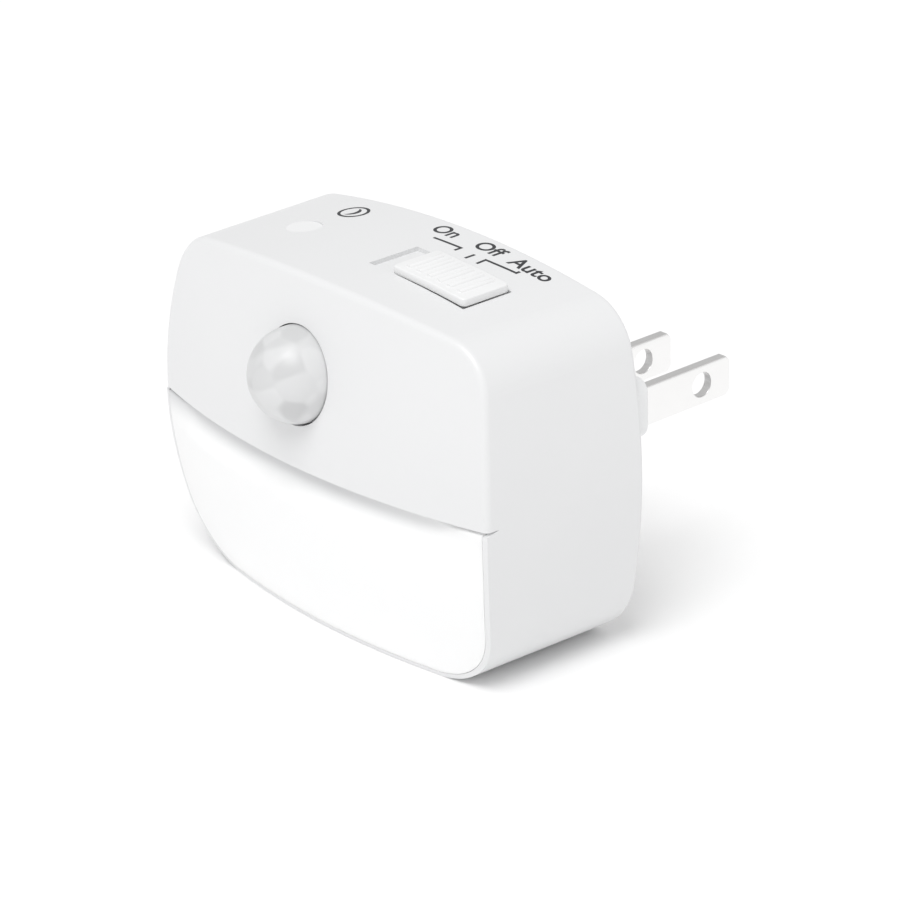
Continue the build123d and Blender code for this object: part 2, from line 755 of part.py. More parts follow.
def gull_legs(columns, board_y, middle_z, body_width, body_height, rearward):
    """Bent sheet legs on both long sides of a chip that stands on a board at depth board_y."""
    out = 1 if rearward else -1
    shoulder = board_y + out * (body_height / 2 + leg_sheet / 2)
    with BuildPart() as legs:
        for x in columns:
            with BuildSketch(Plane.YZ.offset(x)):
                for up in (-1, 1):
                    wall = middle_z + up * body_width / 2
                    knee = wall + up * leg_reach / 2
                    foot = wall + up * leg_reach
                    with BuildLine():
                        Polyline(
                            (board_y, foot),
                            (board_y, knee - up * leg_sheet),
                            (shoulder - out * leg_sheet, knee - up * leg_sheet),
                            (shoulder - out * leg_sheet, wall),
                            (shoulder, wall),
                            (shoulder, knee),
                            (board_y + out * leg_sheet, knee),
                            (board_y + out * leg_sheet, foot),
                            close=True,
                        )
                    make_face()
            extrude(amount=leg_width / 2, both=True)
    return legs.part


with BuildPart() as control_chip:
    chip_top = front_board_back + body_lift + chip_height
    add(blocks([(chip_x, chip_z)], chip_top, chip_height, chip_length, chip_width))
    chip_columns = in_a_row(chip_legs, chip_leg_pitch, chip_x)
    add(gull_legs(chip_columns, front_board_back, chip_z, chip_width, chip_height, True))
control_chip.part.label = "control_chip"
export_step(control_chip.part, "parts/control_chip.step")

# ---- power board: stands on the rear cover's posts, with the parts that feed the lamps ----
with BuildPart() as power_board:
    board_mid = ((power_board_left + power_board_right) / 2, (power_board_bottom + power_board_top) / 2)
    board_width = power_board_right - power_board_left
    add(blocks([board_mid], power_board_back, board_thickness, board_width, power_board_height))
    fillet(power_board.edges().filter_by(Axis.Y), knob_corner)
    drill_back = power_board_back + form_reach
    add(round_pegs(column_spots, drill_back, drill, column_radius + column_gap), mode=Mode.SUBTRACT)
    can_lead_x = can_x + can_length / 2 + can_lead_reach
    can_lead_spots = [(can_lead_x, z) for z in in_a_row(2, can_lead_pitch, can_z)]
    film_lead_spots = [(x, film_z) for x in in_a_row(2, film_lead_pitch, film_x)]
    fuse_lead_spots = [(x, fuse_z) for x in in_a_row(2, fuse_length + 2 * fuse_lead_reach, fuse_x)]
    board_leads = can_lead_spots + film_lead_spots + fuse_lead_spots + link_spots
    add(round_pegs(board_leads, drill_back, drill, lead_hole_radius), mode=Mode.SUBTRACT)
    add(round_pegs(post_screw_spots, drill_back, drill, board_hole_radius), mode=Mode.SUBTRACT)
    tail_spots = [(x, plug_z) for x in blade_columns]
    tail_slots = blocks(
        tail_spots, drill_back, drill, blade_thickness + 2 * tail_gap, tail_width + 2 * tail_gap
    )
    add(tail_slots, mode=Mode.SUBTRACT)
power_board.part.label = "power_board"
export_step(power_board.part, "parts/power_board.step")

lead_end = power_board_back + lead_tail
with BuildPart() as film_capacitor:
    add(blocks([(film_x, film_z)], power_board_front, film_height, film_length, film_width))
    fillet(film_capacitor.edges().filter_by(Axis.Y), knob_corner)
    add(round_pegs(film_lead_spots, lead_end, lead_end - power_board_front, lead_radius))
film_capacitor.part.label = "film_capacitor"
export_step(film_capacitor.part, "parts/film_capacitor.step")

with BuildPart() as electrolytic_capacitor:
    can_y = power_board_front - can_radius - body_lift
    with BuildSketch(Plane.YZ.offset(can_x)):
        with Locations((can_y, can_z)):
            Circle(can_radius)
    extrude(amount=can_length / 2, both=True)
    chamfer(electrolytic_capacitor.edges(), can_edge_bevel)
    for x, z in can_lead_spots:
        add(bent_lead((x - can_lead_reach, can_y, z), (x, can_y, z), (x, lead_end, z)))
electrolytic_capacitor.part.label = "electrolytic_capacitor"
export_step(electrolytic_capacitor.part, "parts/electrolytic_capacitor.step")

with BuildPart() as fusible_resistor:
    fuse_y = power_board_front - fuse_radius - fuse_lift
    with BuildSketch(Plane.YZ.offset(fuse_x)):
        with Locations((fuse_y, fuse_z)):
            Circle(fuse_radius)
    extrude(amount=fuse_length / 2, both=True)
    chamfer(fusible_resistor.edges(), can_edge_bevel)
    for x, z in fuse_lead_spots:
        inner_x = fuse_x + (x - fuse_x) * fuse_length / (fuse_length + 2 * fuse_lead_reach)
        add(bent_lead((inner_x, fuse_y, z), (x, fuse_y, z), (x, lead_end, z)))
fusible_resistor.part.label = "fusible_resistor"
export_step(fusible_resistor.part, "parts/fusible_resistor.step")

with BuildPart() as bridge_rectifier:
    bridge_foot = power_board_front - body_lift
    add(blocks([(bridge_x, bridge_z)], bridge_foot, bridge_height, bridge_length, bridge_width))
    bridge_columns = in_a_row(2, bridge_leg_pitch, bridge_x)
    add(gull_legs(bridge_columns, power_board_front, bridge_z, bridge_width, bridge_height, False))
bridge_rectifier.part.label = "bridge_rectifier"
export_step(bridge_rectifier.part, "parts/bridge_rectifier.step")

with BuildPart() as chip_resistors:
    resistor_spots = [(resistor_x, z) for z in in_a_row(resistor_count, resistor_pitch, resistor_z)]
    add(blocks(resistor_spots, power_board_front, resistor_height, resistor_length, resistor_width))
chip_resistors.part.label = "chip_resistors"
export_step(chip_resistors.part, "parts/chip_resistors.step")

# ---- link: a pin header that joins the two boards ----
with BuildPart() as link_header:
    header_length = link_count * link_pitch
    add(blocks([(link_x, link_z)], power_board_front, header_height, header_length, header_width))
    header_holes = blocks(link_spots, power_board_front, header_height, link_pin_size, link_pin_size)
    add(header_holes, mode=Mode.SUBTRACT)
link_header.part.label = "link_header"
export_step(link_header.part, "parts/link_header.step")

with BuildPart() as link_pins:
    link_length = lead_end - front_board_front + lead_tail
    add(blocks(link_spots, lead_end, link_length, link_pin_size, link_pin_size))
link_pins.part.label = "link_pins"
export_step(link_pins.part, "parts/link_pins.step")

# ---- plug: two flat blades held in an insert that is flanged behind the rear cover ----
with BuildPart() as plug_insert:
    with BuildSketch(facing(insert_inner)):
        with Locations((plug_x, plug_z)):
            RectangleRounded(pad_width, pad_length, pad_corner)
    extrude(amount=-(plug_face - insert_inner))
    fillet(plug_insert.edges().group_by(Axis.Y)[-1], pad_edge_radius)
    flange_length = pad_length + 2 * flange_reach
    add(blocks([(plug_x, plug_z)], cover_inner, flange_thickness, flange_width, flange_length))
    blade_slots = blocks(tail_spots, plug_face, plug_face - insert_inner, blade_thickness, blade_width)
    add(blade_slots, mode=Mode.SUBTRACT)
plug_insert.part.label = "plug_insert"
export_step(plug_insert.part, "parts/plug_insert.step")

blade_tip = plug_face + blade_length
blade_shoulder_y = insert_inner - blade_shoulder
for name, x in (("blade_left", blade_columns[0]), ("blade_right", blade_columns[1])):
    with BuildPart() as blade:
        add(blocks([(x, plug_z)], blade_tip, blade_tip - blade_shoulder_y, blade_thickness, blade_width))
        tip_edges = blade.edges().group_by(Axis.Y)[-1]
        chamfer(tip_edges.filter_by(Axis.X), blade_tip_corner)
        chamfer(blade.edges().group_by(Axis.Y)[-1].filter_by(Axis.Z), blade_tip_bevel)
        add(
            blocks(
                [(x, plug_z)],
                blade_shoulder_y,
                blade_shoulder_y - power_board_front + lead_tail,
                blade_thickness,
                tail_width,
            )
        )
        with BuildSketch(Plane.YZ.offset(x)):
            with Locations((plug_face + blade_hole_distance, plug_z)):
                Circle(blade_hole_radius)
        extrude(amount=blade_thickness, both=True, mode=Mode.SUBTRACT)
    blade.part.label = name
    export_step(blade.part, f"parts/{name}.step")

# ---- rear cover: closes the housing, carries the power board and lets the plug through ----
with BuildPart() as rear_cover:
    add(case_form(side_wall + cover_gap, rear_face, cover_inner))
    add(round_pegs(post_spots, cover_inner, post_length, post_radius))
    with BuildSketch(facing(cover_inner)):
        with Locations((plug_x, plug_z)):
            RectangleRounded(pad_width + 2 * plug_gap, pad_length + 2 * plug_gap, pad_corner + plug_gap)
    extrude(amount=-cover_thickness, mode=Mode.SUBTRACT)
    counterbore_radius = screw_head_radius + head_gap
    add(round_pegs(column_spots, rear_face, counterbore_depth, counterbore_radius), mode=Mode.SUBTRACT)
    add(round_pegs(column_spots, rear_face, cover_thickness, board_hole_radius), mode=Mode.SUBTRACT)
    pilot_end = power_board_back + board_pilot_depth
    add(round_pegs(post_screw_spots, pilot_end, board_pilot_depth, pilot_radius), mode=Mode.SUBTRACT)
rear_cover.part.label = "rear_cover"
export_step(rear_cover.part, "parts/rear_cover.step")

# ---- screws ----
with BuildPart() as case_screws:
    head_seat = rear_face - counterbore_depth
    add(round_pegs(column_spots, head_seat + screw_head_height, screw_head_height, screw_head_radius))
    add(round_pegs(column_spots, head_seat, case_screw_length, screw_shank_radius))
case_screws.part.label = "case_screws"
export_step(case_screws.part, "parts/case_screws.step")

with BuildPart() as board_screws:
    front_heads = front_board_back + screw_head_height
    add(round_pegs(board_boss_spots, front_heads, screw_head_height, board_screw_head_radius))
    add(round_pegs(board_boss_spots, front_board_back, board_screw_length, screw_shank_radius))
    add(round_pegs(post_screw_spots, power_board_front, screw_head_height, board_screw_head_radius))
    rear_ends = power_board_front + board_screw_length
    add(round_pegs(post_screw_spots, rear_ends, board_screw_length, screw_shank_radius))
board_screws.part.label = "board_screws"
export_step(board_screws.part, "parts/board_screws.step")
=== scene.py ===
"""Plug-in night light with a motion sensor, a daylight sensor and a slide switch, dressed over its solids.

Metres throughout. X runs to the right seen from the front, Y to the rear along the blades, Z up.
"""
import math

import bmesh
import bpy
from mathutils import Matrix, Vector


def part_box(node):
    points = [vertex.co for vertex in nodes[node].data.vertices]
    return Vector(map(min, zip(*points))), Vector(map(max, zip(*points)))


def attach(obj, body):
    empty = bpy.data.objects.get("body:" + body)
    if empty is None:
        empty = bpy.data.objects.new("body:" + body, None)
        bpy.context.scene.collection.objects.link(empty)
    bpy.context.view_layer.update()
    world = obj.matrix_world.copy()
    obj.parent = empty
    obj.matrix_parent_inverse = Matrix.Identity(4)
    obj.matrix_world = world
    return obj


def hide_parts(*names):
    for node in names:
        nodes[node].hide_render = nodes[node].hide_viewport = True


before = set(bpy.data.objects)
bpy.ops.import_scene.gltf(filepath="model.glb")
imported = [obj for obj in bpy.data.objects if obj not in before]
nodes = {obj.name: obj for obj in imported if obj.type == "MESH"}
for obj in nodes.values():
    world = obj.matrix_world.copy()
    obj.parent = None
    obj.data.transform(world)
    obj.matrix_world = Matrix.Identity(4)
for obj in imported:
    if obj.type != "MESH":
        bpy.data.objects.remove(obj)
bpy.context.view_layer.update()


# ---- Front housing ----
# White ABS cup that makes the panel, the sides, the top and the base in one moulding.
# The tool is finished with a fine spark texture, so the skin is satin and slightly mottled.
# At its rim beside the diffuser, the scoop under the panel runs out towards the sides.
MM = 0.001
MIX_SHARE, MIX_FIRST, MIX_SECOND, MIX_OUT = 0, 6, 7, 2    # sockets of a Mix node for tints


def wire(tree, start, end):
    """Joins two sockets, each given as (node, socket name or number)."""
    tree.links.new(start[0].outputs[start[1]], end[0].inputs[end[1]])


def add_node(tree, kind, **settings):
    """A shader node of the kind named, with its settings."""
    made = tree.nodes.new("ShaderNode" + kind)
    for key, value in settings.items():
        setattr(made, key, value)
    return made


def new_group(name, takes, gives):
    """Empty shader group with named inputs (name, kind, value) and outputs (name, kind)."""
    tree = bpy.data.node_groups.new(name, "ShaderNodeTree")
    for label, kind, value in takes:
        socket = tree.interface.new_socket(label, in_out="INPUT", socket_type="NodeSocket" + kind)
        if value is not None:
            socket.default_value = value
    for label, kind in gives:
        tree.interface.new_socket(label, in_out="OUTPUT", socket_type="NodeSocket" + kind)
    return tree, tree.nodes.new("NodeGroupInput"), tree.nodes.new("NodeGroupOutput")


# moulded_skin: slow mottle in the tint and the gloss, fine spark texture in the height
skin_tree, skin_in, skin_out = new_group(
    "moulded_skin",
    [("Place", "Vector", None),
     ("Light Tint", "Color", (0.9, 0.9, 0.9, 1)), ("Dark Tint", "Color", (0.8, 0.8, 0.8, 1)),
     ("Gloss Low", "Float", 0.3), ("Gloss High", "Float", 0.4), ("Grain Scale", "Float", 3000.0)],
    [("Tint", "Color"), ("Roughness", "Float"), ("Height", "Float")])
mottle = add_node(skin_tree, "TexNoise")
mottle.inputs["Scale"].default_value = 55
mottle.inputs["Detail"].default_value = 4
spark = add_node(skin_tree, "TexNoise")
spark.inputs["Detail"].default_value = 2
tint_mix = add_node(skin_tree, "Mix", data_type="RGBA")
gloss_range = add_node(skin_tree, "MapRange")
wire(skin_tree, (skin_in, "Place"), (mottle, "Vector"))
wire(skin_tree, (skin_in, "Place"), (spark, "Vector"))
wire(skin_tree, (skin_in, "Grain Scale"), (spark, "Scale"))
wire(skin_tree, (mottle, "Fac"), (tint_mix, MIX_SHARE))
wire(skin_tree, (skin_in, "Light Tint"), (tint_mix, MIX_FIRST))
wire(skin_tree, (skin_in, "Dark Tint"), (tint_mix, MIX_SECOND))
wire(skin_tree, (mottle, "Fac"), (gloss_range, "Value"))
wire(skin_tree, (skin_in, "Gloss Low"), (gloss_range, "To Min"))
wire(skin_tree, (skin_in, "Gloss High"), (gloss_range, "To Max"))
wire(skin_tree, (tint_mix, MIX_OUT), (skin_out, "Tint"))
wire(skin_tree, (gloss_range, "Result"), (skin_out, "Roughness"))
wire(skin_tree, (spark, "Fac"), (skin_out, "Height"))


def finish_tree(name):
    """New material with its Principled shader and the object's own coordinates."""
    material = bpy.data.materials.new(name)
    material.use_nodes = True
    tree = material.node_tree
    return material, tree, tree.nodes["Principled BSDF"], tree.nodes.new("ShaderNodeTexCoord")


def skin_on(finish, group, light, dark, gloss_low, gloss_high):
    """Adds a skin group to a finish, with its two tints, and lets it set the gloss."""
    _, tree, shader, place = finish
    skin = add_node(tree, "Group", node_tree=group)
    skin.inputs["Light Tint"].default_value = (*light, 1)
    skin.inputs["Dark Tint"].default_value = (*dark, 1)
    skin.inputs["Gloss Low"].default_value = gloss_low
    skin.inputs["Gloss High"].default_value = gloss_high
    wire(tree, (place, "Object"), (skin, "Place"))
    wire(tree, (skin, "Roughness"), (shader, "Roughness"))
    return skin


def raised(finish, source, strength, distance):
    """Lets the height that a (node, socket) pair gives raise the surface of a finish."""
    _, tree, shader, _ = finish
    bump = add_node(tree, "Bump")
    bump.inputs["Strength"].default_value = strength
    bump.inputs["Distance"].default_value = distance
    wire(tree, source, (bump, "Height"))
    wire(tree, (bump, "Normal"), (shader, "Normal"))


def moulded(name, light, dark, gloss, grain_mm=0.35, depth_mm=0.004):
    """Moulded plastic: tint between light and dark, satin gloss and spark texture."""
    finish = material, tree, shader, _ = finish_tree(name)
    skin = skin_on(finish, skin_tree, light, dark, gloss - 0.04, gloss + 0.06)
    skin.inputs["Grain Scale"].default_value = 1 / (grain_mm * MM)
    wire(tree, (skin, "Tint"), (shader, "Base Color"))
    raised(finish, (skin, "Height"), 0.6, depth_mm * MM)
    return material


housing_white = moulded("housing_white", (0.808, 0.811, 0.816), (0.790, 0.793, 0.799), 0.34)


def clear_choice():
    """Object mode with nothing selected."""
    if bpy.context.mode != "OBJECT":
        bpy.ops.object.mode_set(mode="OBJECT")
    bpy.ops.object.select_all(action="DESELECT")


def start_piece(name, add, **where):
    """Adds a primitive by itself and names it."""
    clear_choice()
    add(**where)
    piece = bpy.context.active_object
    piece.name = name
    piece.data.name = name
    return piece


def hand_over(piece, body, slot, *replaced):
    """The finished piece rides on its body and stands for the solids named."""
    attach(piece, body)
    if replaced:
        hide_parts(*replaced)


def crown_y(z):
    """Depth of the crowned front in the middle plane, at height z."""
    return front_apex + crown_up_radius - math.sqrt(crown_up_radius**2 - (z - mid_height) ** 2)


def scoop_run_out(name, node, finish, belongs):
    """A copy of a solid whose concave scoop under the panel runs out towards the case's sides."""
    piece = start_piece(name, bpy.ops.mesh.primitive_plane_add)
    piece.data = nodes[node].data.copy()
    piece.data.name = name
    for vertex in piece.data.vertices:
        x, y, z = vertex.co
        if not scoop_foot < z < scoop_top or abs(x) < fade_from:
            continue
        spot = nodes["diffuser"].ray_cast(Vector((0, ahead_of_case, z)), Vector((0, 1, 0)))[1]
        depth = spot.y - crown_y(z)
        out = Vector((x, y - crown_pivot, 0))
        behind = crown_pivot - crown_y(z) - out.length
        if belongs(behind, depth):
            share = min((abs(x) - fade_from) / (fade_to - fade_from), 1)
            slide = Vector((-math.copysign(math.tan(side_draft), x), -1, 0))
            vertex.co += slide * depth * share * share * (3 - 2 * share) / slide.dot(out.normalized())
    piece.data.materials.clear()
    piece.data.materials.append(finish)
    return piece


# the front is crowned up and down and from side to side, and the sides lean in by their draft
front_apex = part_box("front_housing")[0].y
mid_height, crown_up_radius = 29 * MM, 85.0 * MM
crown_pivot = front_apex + 144 * MM
side_draft = math.radians(2.5)
scoop_foot, scoop_top = 22.3 * MM, 28.75 * MM
fade_from, fade_to = 24 * MM, 37 * MM
ahead_of_case = -60 * MM
rim_play = 0.04 * MM
white_cup = scoop_run_out("white_cup", "front_housing", housing_white,
                          lambda behind, depth: abs(behind - depth) < rim_play)
hand_over(white_cup, "case", "case_plastic", "front_housing")


# ---- Motion sensor lens ----
# Thin frosted polyethylene dome, moulded with three rows of small lens fields on its inside.
# Its flange is clamped behind the panel, and the neck comes through the panel's round hole.
def pick(piece):
    """Makes a piece the only one selected, and the active one."""
    clear_choice()
    piece.select_set(True)
    bpy.context.view_layer.objects.active = piece


def smooth(piece, degrees=35):
    """Smooth shading with edges sharper than the angle kept."""
    pick(piece)
    bpy.ops.object.shade_smooth_by_angle(angle=math.radians(degrees))


def turned(name, outline, axis_at, axis, steps=48):
    """An outline of (distance from the axis, depth along Y, or height along Z) points, spun round."""
    upright = abs(axis[2]) > 0.5
    places = [Vector((r, 0, t)) if upright else Vector((r, t, 0)) for r, t in outline]
    piece = start_piece(name, bpy.ops.mesh.primitive_plane_add, size=MM, location=(0, 0, 0))
    bpy.ops.object.mode_set(mode="EDIT")
    bpy.ops.mesh.select_mode(type="VERT")
    bpy.ops.mesh.select_all(action="SELECT")
    bpy.ops.mesh.merge(type="CENTER")
    bpy.ops.transform.translate(value=places[0] + Vector(axis_at))
    for here, there in zip(places, places[1:]):
        bpy.ops.mesh.extrude_region_move(TRANSFORM_OT_translate={"value": there - here})
    bpy.ops.mesh.select_all(action="SELECT")
    bpy.ops.mesh.spin(steps=steps, angle=math.tau, center=axis_at, axis=axis)
    bpy.ops.mesh.select_all(action="SELECT")
    bpy.ops.mesh.remove_doubles(threshold=1e-6)
    bpy.ops.mesh.normals_make_consistent(inside=False)
    bpy.ops.object.mode_set(mode="OBJECT")
    return piece


lens_low, lens_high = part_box("pir_lens")
dome_radius, dome_inside, dome_steps = 7.45 * MM, 6.65 * MM, 24
flange_radius, flange_thickness = 9.0 * MM, 0.8 * MM
lens_z = (lens_low.z + lens_high.z) / 2
dome_y = lens_low.y + dome_radius
flange_front = lens_high.y - flange_thickness
dome_turns = [math.radians(90 * i / dome_steps) for i in range(dome_steps + 1)]
lens_outline = [(dome_radius * math.sin(a), dome_y - dome_radius * math.cos(a)) for a in dome_turns]
lens_outline += [(dome_radius, flange_front), (flange_radius, flange_front),
                 (flange_radius, lens_high.y), (dome_inside, lens_high.y)]
lens_outline += [(dome_inside * math.sin(a), dome_y - dome_inside * math.cos(a))
                 for a in reversed(dome_turns)]
lens = turned("motion_lens", lens_outline, (0, 0, lens_z), (0, 1, 0), 60)

# rows of lens fields: each row is a ring of flats between two angles off the axis
field_rows = [(0, 22.5, 5), (22.5, 52.5, 10), (52.5, 90, 15)]
for vertex in lens.data.vertices:
    off = Vector((vertex.co.x, vertex.co.y - dome_y, vertex.co.z - lens_z))
    if off.y > 1e-6 or off.length > (dome_radius + dome_inside) / 2:
        continue
    tip = math.degrees(math.atan2(math.hypot(off.x, off.z), -off.y))
    turn = math.atan2(off.z, off.x) % math.tau
    for start, end, count in field_rows:
        if start < tip <= end + 1e-3:
            share = (tip - start) / (end - start)
            a, b = math.radians(start), math.radians(end)
            reach = dome_inside * (math.sin(a) + share * (math.sin(b) - math.sin(a)))
            depth = dome_inside * (math.cos(a) + share * (math.cos(b) - math.cos(a)))
            if end < 90 or share < 0.99:
                step = math.tau / count
                reach *= math.cos(step / 2) / math.cos(turn % step - step / 2)
            vertex.co.y = dome_y - depth
            vertex.co.x = reach * math.cos(turn)
            vertex.co.z = lens_z + reach * math.sin(turn)
smooth(lens, 8)


def multiplied(tree, first, second):
    """Two tints multiplied, as the (node, socket) pair that gives the result."""
    product = add_node(tree, "Mix", data_type="RGBA", blend_type="MULTIPLY")
    product.inputs[MIX_SHARE].default_value = 1.0
    wire(tree, first, (product, MIX_FIRST))
    wire(tree, second, (product, MIX_SECOND))
    return product, MIX_OUT


frosted_finish = frosted, frosted_tree, frosted_shader, frosted_place = finish_tree("frosted_polyethylene")
frosted_skin = skin_on(frosted_finish, skin_tree, (0.955, 0.96, 0.965), (0.92, 0.925, 0.93), 0.30, 0.38)
# painted light and shade: each cell of a random pattern darkens the tint by up to about a fifth, standing in
# for the lens fields' lighter and darker patches
patch_cells = add_node(frosted_tree, "TexVoronoi", feature="SMOOTH_F1")
patch_cells.inputs["Smoothness"].default_value = 0.4
patch_cells.inputs["Scale"].default_value = 1 / (3.6 * MM)
patch_cells.inputs["Randomness"].default_value = 0.7
painted_patch_tone = add_node(frosted_tree, "SeparateColor")
painted_patch_range = add_node(frosted_tree, "MapRange")
painted_patch_range.inputs["To Min"].default_value = 0.78
painted_patch_range.inputs["To Max"].default_value = 1.0
wire(frosted_tree, (frosted_place, "Object"), (patch_cells, "Vector"))
wire(frosted_tree, (patch_cells, "Color"), (painted_patch_tone, "Color"))
wire(frosted_tree, (painted_patch_tone, "Red"), (painted_patch_range, "Value"))
painted_patch_tint = multiplied(frosted_tree, (frosted_skin, "Tint"), (painted_patch_range, "Result"))
wire(frosted_tree, painted_patch_tint, (frosted_shader, "Base Color"))
frosted_shader.inputs["Transmission Weight"].default_value = 0.22
frosted_shader.inputs["IOR"].default_value = 1.5
lens.data.materials.append(frosted)
hand_over(lens, "case", "lens_plastic", "pir_lens")


# ---- Daylight window ----
# Small milky acrylic plug pushed up from inside until its flange meets the boss.
# It lets room light through to the photocell underneath.
def dress(material, *names):
    """Gives solids that stay as they are their real finish."""
    for name in names:
        for place in nodes[name].material_slots:
            place.material = material


window_milk = moulded("window_milk", (0.87, 0.873, 0.876), (0.845, 0.848, 0.852), 0.12, 0.6, 0.001)
dress(window_milk, "daylight_window")


# ---- Diffuser ----
# Milky polycarbonate front, moulded as one curved plate that falls back under the panel.
# It drops into the housing's ledge. Its tint is greyed towards the panel as painted shade from the panel's
# lip, less towards the right end.
# The scoop under the panel runs out towards the sides, as on the cup's rim beside it.
milky_finish = milky, milky_tree, milky_shader, milky_place = finish_tree("milky_polycarbonate")
milky_skin = skin_on(milky_finish, skin_tree, (0.975, 0.975, 0.975), (0.955, 0.958, 0.96), 0.36, 0.44)
# painted shade: the tint greys towards the panel's lip above, and fades out towards the right end
painted_shade_place = add_node(milky_tree, "SeparateXYZ")
painted_shade_rise = add_node(milky_tree, "MapRange")
painted_shade_rise.inputs["From Min"].default_value = 23.4 * MM
painted_shade_rise.inputs["From Max"].default_value = 28.9 * MM
painted_shade_side = add_node(milky_tree, "MapRange")
painted_shade_side.inputs["From Min"].default_value = 8.0 * MM
painted_shade_side.inputs["From Max"].default_value = 36.0 * MM
painted_shade_side.inputs["To Min"].default_value = 1.0
painted_shade_side.inputs["To Max"].default_value = 0.15
painted_shade_curve = add_node(milky_tree, "Math", operation="POWER")
painted_shade_curve.inputs[1].default_value = 1.6
painted_shade_share = add_node(milky_tree, "Math", operation="MULTIPLY")
painted_shade_mix = add_node(milky_tree, "Mix", data_type="RGBA")
painted_shade_mix.inputs[MIX_SECOND].default_value = (0.60, 0.605, 0.615, 1)
wire(milky_tree, (milky_place, "Object"), (painted_shade_place, "Vector"))
wire(milky_tree, (painted_shade_place, "Z"), (painted_shade_rise, "Value"))
wire(milky_tree, (painted_shade_place, "X"), (painted_shade_side, "Value"))
wire(milky_tree, (painted_shade_rise, "Result"), (painted_shade_curve, 0))
wire(milky_tree, (painted_shade_curve, "Value"), (painted_shade_share, 0))
wire(milky_tree, (painted_shade_side, "Result"), (painted_shade_share, 1))
wire(milky_tree, (painted_shade_share, "Value"), (painted_shade_mix, MIX_SHARE))
wire(milky_tree, (milky_skin, "Tint"), (painted_shade_mix, MIX_FIRST))
wire(milky_tree, (painted_shade_mix, MIX_OUT), (milky_shader, "Base Color"))
milky_shader.inputs["Subsurface Weight"].default_value = 0.3
milky_shader.inputs["Subsurface Radius"].default_value = (1, 1, 1)
milky_shader.inputs["Subsurface Scale"].default_value = 1.0 * MM

front_wall = 2.3 * MM
milky_front = scoop_run_out("milky_front", "diffuser", milky,
                            lambda behind, depth: behind < depth + front_wall)
hand_over(milky_front, "case", "diffuser_plastic", "diffuser")


# ---- Sensor holder and motion sensor ----
# Natural polypropylene holder that presses the lens to its seat, with the sensor on its pedestal.
# The sensor is a nickel-plated steel can with a dark coated silicon filter let into its front.
holder_white = moulded("holder_natural", (0.80, 0.81, 0.81), (0.74, 0.75, 0.75), 0.45, 0.5, 0.006)
dress(holder_white, "sensor_holder")

rolled_tree, rolled_in, rolled_out = new_group(
    "rolled_metal",
    [("Place", "Vector", None),
     ("Light Tint", "Color", (0.8, 0.8, 0.8, 1)), ("Dark Tint", "Color", (0.7, 0.7, 0.7, 1)),
     ("Gloss Low", "Float", 0.15), ("Gloss High", "Float", 0.3), ("Line Scale", "Float", 1500.0)],
    [("Tint", "Color"), ("Roughness", "Float"), ("Height", "Float")])
squeeze = add_node(rolled_tree, "Mapping")
squeeze.inputs["Scale"].default_value = (1.0, 0.03, 1.0)
lines = add_node(rolled_tree, "TexNoise")
lines.inputs["Detail"].default_value = 3
cloud = add_node(rolled_tree, "TexNoise")
cloud.inputs["Scale"].default_value = 220
cloud.inputs["Detail"].default_value = 4
rolled_mix = add_node(rolled_tree, "Mix", data_type="RGBA")
rolled_range = add_node(rolled_tree, "MapRange")
wire(rolled_tree, (rolled_in, "Place"), (squeeze, "Vector"))
wire(rolled_tree, (squeeze, "Vector"), (lines, "Vector"))
wire(rolled_tree, (rolled_in, "Line Scale"), (lines, "Scale"))
wire(rolled_tree, (rolled_in, "Place"), (cloud, "Vector"))
wire(rolled_tree, (cloud, "Fac"), (rolled_mix, MIX_SHARE))
wire(rolled_tree, (rolled_in, "Light Tint"), (rolled_mix, MIX_FIRST))
wire(rolled_tree, (rolled_in, "Dark Tint"), (rolled_mix, MIX_SECOND))
wire(rolled_tree, (lines, "Fac"), (rolled_range, "Value"))
wire(rolled_tree, (rolled_in, "Gloss Low"), (rolled_range, "To Min"))
wire(rolled_tree, (rolled_in, "Gloss High"), (rolled_range, "To Max"))
wire(rolled_tree, (rolled_mix, MIX_OUT), (rolled_out, "Tint"))
wire(rolled_tree, (rolled_range, "Result"), (rolled_out, "Roughness"))
wire(rolled_tree, (lines, "Fac"), (rolled_out, "Height"))


def rolled(name, light, dark, gloss, line_mm=0.5, depth_mm=0.0015):
    """Plated or bare metal with rolling lines along Y and a slow cloud in the tint."""
    finish = material, tree, shader, _ = finish_tree(name)
    skin = skin_on(finish, rolled_tree, light, dark, max(gloss - 0.06, 0.03), gloss + 0.08)
    skin.inputs["Line Scale"].default_value = 1 / (line_mm * MM)
    shader.inputs["Metallic"].default_value = 1.0
    wire(tree, (skin, "Tint"), (shader, "Base Color"))
    raised(finish, (skin, "Height"), 0.5, depth_mm * MM)
    return material


can_nickel = rolled("can_nickel", (0.74, 0.73, 0.71), (0.66, 0.65, 0.63), 0.22)
tinned = rolled("tinned_wire", (0.80, 0.80, 0.78), (0.70, 0.70, 0.68), 0.28)
filter_dark = moulded("filter_silicon", (0.045, 0.045, 0.055), (0.03, 0.03, 0.04), 0.08, 0.8, 0.0005)
dress(can_nickel, "pir_sensor")
dress(filter_dark, "pir_filter")
dress(tinned, "pir_pins")


